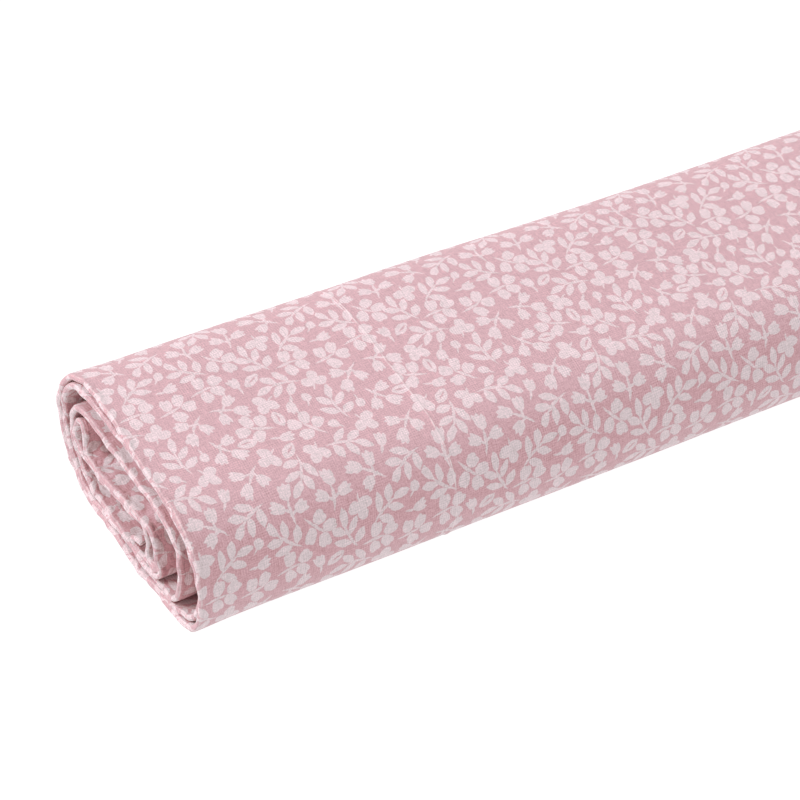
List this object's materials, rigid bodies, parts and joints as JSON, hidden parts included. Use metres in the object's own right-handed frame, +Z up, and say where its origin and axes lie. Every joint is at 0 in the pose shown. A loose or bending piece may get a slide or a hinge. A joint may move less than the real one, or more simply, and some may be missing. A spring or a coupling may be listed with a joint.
{
  "type": "fabric roll",
  "caption": "Cut length of quilting cotton, folded in half along its width and rolled flat, with a free end that turns out from under the roll.",
  "frame": {"origin": "centre of the roll's footprint, at the height of the floor it lies on", "axes": "+X along the roll, away from the folded edge; -Y is the front face; +Z up"},
  "size_m": [0.56, 0.0862, 0.0497],
  "materials": {
    "cloth": "matt printed cotton, dusty pink ground with an off-white leaf and flower print"
  },
  "bodies": {
    "roll": {"turn1_front": "cloth", "turn1_back": "cloth", "turn2_front": "cloth", "turn2_back": "cloth", "turn3_front": "cloth", "turn3_back": "cloth", "turn4_front": "cloth", "turn4_back": "cloth", "inner_end": "cloth"},
    "free_end": {"tail_flap": "cloth"}
  },
  "joints": [
    {"name": "tail_hinge", "type": "hinge", "parent": "roll", "child": "free_end", "pos_m": [0, -0.03747, 0.0027], "axis": [-1, 0, 0], "range_deg": [0, 175]}
  ]
}
